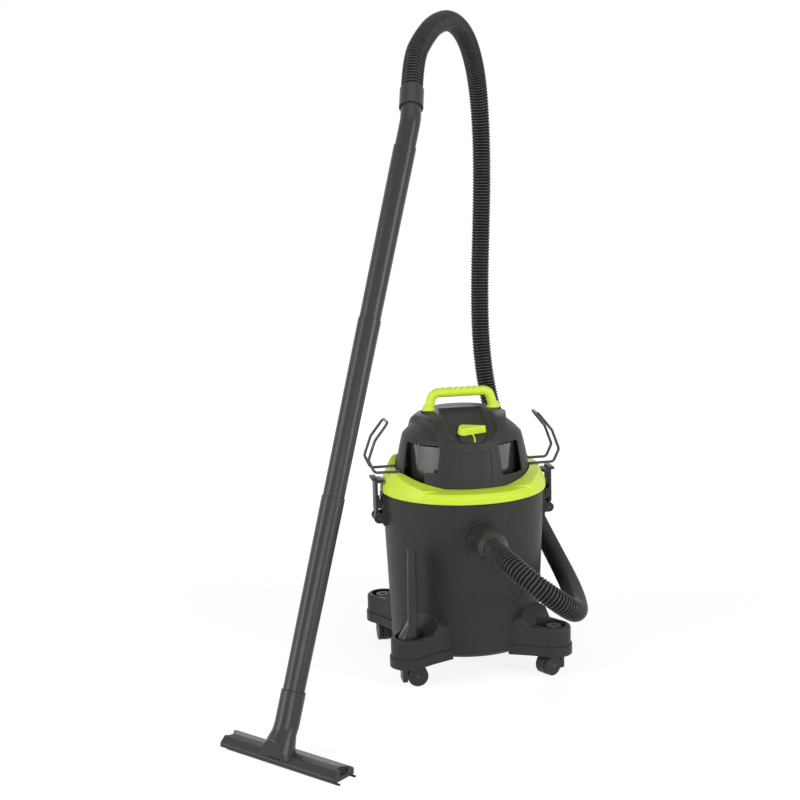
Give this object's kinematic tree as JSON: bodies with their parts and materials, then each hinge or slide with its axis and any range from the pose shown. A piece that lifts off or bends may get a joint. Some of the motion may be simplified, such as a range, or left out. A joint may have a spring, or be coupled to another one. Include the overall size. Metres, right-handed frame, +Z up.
{
  "type": "shop vacuum",
  "caption": "Wet and dry shop vacuum: round tank on caster feet, clipped motor head with carry handle and cord hooks, ribbed hose, wand and floor nozzle.",
  "frame": {"origin": "on the tank's axis at floor level", "axes": "+Z up along the tank's axis, -Y towards the hose inlet at the front, +X to the right of someone facing the inlet"},
  "size_m": [0.6975, 0.8459, 1.2075],
  "materials": {
    "charcoal": "fine-grained satin charcoal",
    "lime": "satin lime green",
    "black_gloss": "glossy black",
    "black_plastic": "satin black",
    "hose_black": "ribbed satin black",
    "seal_rubber": "matte black",
    "wire": "black coated steel",
    "steel": "bright steel",
    "motor_steel": "grey painted steel",
    "filter_cloth": "off-white filter cloth",
    "caster_black": "black plastic",
    "caster_grey": "dark grey plastic"
  },
  "bodies": {
    "base": {"tank_shell": "charcoal", "inlet_port": "charcoal", "foot_front_left": "charcoal", "foot_front_right": "charcoal", "foot_rear_left": "charcoal", "foot_rear_right": "charcoal", "foot_screws": "steel", "latch_bracket_left": "charcoal", "latch_bracket_right": "charcoal", "latch_pins": "wire", "hose_connector": "black_plastic", "hose_cuff_inlet": "black_plastic", "hose": "hose_black", "hose_cuff_wand": "black_plastic", "bent_tube": "black_plastic", "wand_tube_upper": "black_plastic", "wand_tube_middle": "black_plastic", "wand_tube_lower": "black_plastic", "nozzle_body": "black_plastic", "nozzle_strip_front": "seal_rubber", "nozzle_strip_rear": "seal_rubber", "crevice_tool": "black_plastic"},
    "head": {"head_deck": "charcoal", "head_gasket": "seal_rubber", "collar_ring": "lime", "deck_screws": "steel", "motor_cover": "charcoal", "inner_drum": "black_gloss", "blower_outlet": "charcoal", "cord_gland": "charcoal", "carry_handle": "lime", "hook_left": "wire", "hook_right": "wire", "switch_body": "black_plastic", "fan_housing": "black_plastic", "motor_can": "motor_steel", "filter_cage": "black_plastic", "filter_sleeve": "filter_cloth", "filter_cap": "black_plastic"},
    "rotor": {"motor_shaft": "steel", "fan_wheel": "black_plastic"},
    "float": {"float_cup": "black_plastic"},
    "knob": {"knob_skirt": "charcoal", "knob_grip": "lime"},
    "latch_left_arm": {"latch_left": "charcoal"},
    "latch_right_arm": {"latch_right": "charcoal"},
    "caster_front_left": {"caster_hood_front_left": "caster_black", "caster_axle_front_left": "wire"},
    "wheels_front_left": {"caster_wheels_front_left": "caster_grey"},
    "caster_front_right": {"caster_hood_front_right": "caster_black", "caster_axle_front_right": "wire"},
    "wheels_front_right": {"caster_wheels_front_right": "caster_grey"},
    "caster_rear_left": {"caster_hood_rear_left": "caster_black", "caster_axle_rear_left": "wire"},
    "wheels_rear_left": {"caster_wheels_rear_left": "caster_grey"},
    "caster_rear_right": {"caster_hood_rear_right": "caster_black", "caster_axle_rear_right": "wire"},
    "wheels_rear_right": {"caster_wheels_rear_right": "caster_grey"}
  },
  "joints": [
    {"name": "head_lift", "type": "slide", "parent": "base", "child": "head", "axis": [0, 0, 1], "range_m": [0, 0.2]},
    {"name": "latch_left_swing", "type": "hinge", "parent": "base", "child": "latch_left_arm", "pos_m": [-0.163, 0, 0.281], "axis": [0, -1, 0], "range_deg": [0, 150]},
    {"name": "latch_right_swing", "type": "hinge", "parent": "base", "child": "latch_right_arm", "pos_m": [0.163, 0, 0.281], "axis": [0, 1, 0], "range_deg": [0, 150]},
    {"name": "knob_turn", "type": "hinge", "parent": "head", "child": "knob", "pos_m": [0, -0.085, 0.44], "axis": [0, -0.3256, 0.9455], "range_deg": [-60, 60]},
    {"name": "rotor_spin", "type": "hinge", "parent": "head", "child": "rotor", "pos_m": [0, 0, 0.38], "axis": [0, 0, 1], "continuous": true},
    {"name": "float_rise", "type": "slide", "parent": "head", "child": "float", "axis": [0, 0, 1], "range_m": [0, 0.055]},
    {"name": "caster_swivel_front_left", "type": "hinge", "parent": "base", "child": "caster_front_left", "pos_m": [-0.13576, -0.13576, 0.05], "axis": [0, 0, 1], "continuous": true},
    {"name": "wheel_spin_front_left", "type": "hinge", "parent": "caster_front_left", "child": "wheels_front_left", "pos_m": [-0.12076, -0.13576, 0.0186], "axis": [0, 1, 0], "continuous": true},
    {"name": "caster_swivel_front_right", "type": "hinge", "parent": "base", "child": "caster_front_right", "pos_m": [0.13576, -0.13576, 0.05], "axis": [0, 0, 1], "continuous": true},
    {"name": "wheel_spin_front_right", "type": "hinge", "parent": "caster_front_right", "child": "wheels_front_right", "pos_m": [0.12277, -0.14327, 0.0186], "axis": [0.5, -0.866, 0], "continuous": true},
    {"name": "caster_swivel_rear_left", "type": "hinge", "parent": "base", "child": "caster_rear_left", "pos_m": [-0.13576, 0.13576, 0.05], "axis": [0, 0, 1], "continuous": true},
    {"name": "wheel_spin_rear_left", "type": "hinge", "parent": "caster_rear_left", "child": "wheels_rear_left", "pos_m": [-0.13576, 0.12076, 0.0186], "axis": [1, 0, 0], "continuous": true},
    {"name": "caster_swivel_rear_right", "type": "hinge", "parent": "base", "child": "caster_rear_right", "pos_m": [0.13576, 0.13576, 0.05], "axis": [0, 0, 1], "continuous": true},
    {"name": "wheel_spin_rear_right", "type": "hinge", "parent": "caster_rear_right", "child": "wheels_rear_right", "pos_m": [0.14089, 0.14986, 0.0186], "axis": [-0.9397, 0.342, 0], "continuous": true}
  ],
  "couplings": [
    {"joint": "latch_left_swing", "follows": "head_lift", "rad_per_m": 13},
    {"joint": "latch_right_swing", "follows": "head_lift", "rad_per_m": 13}
  ]
}
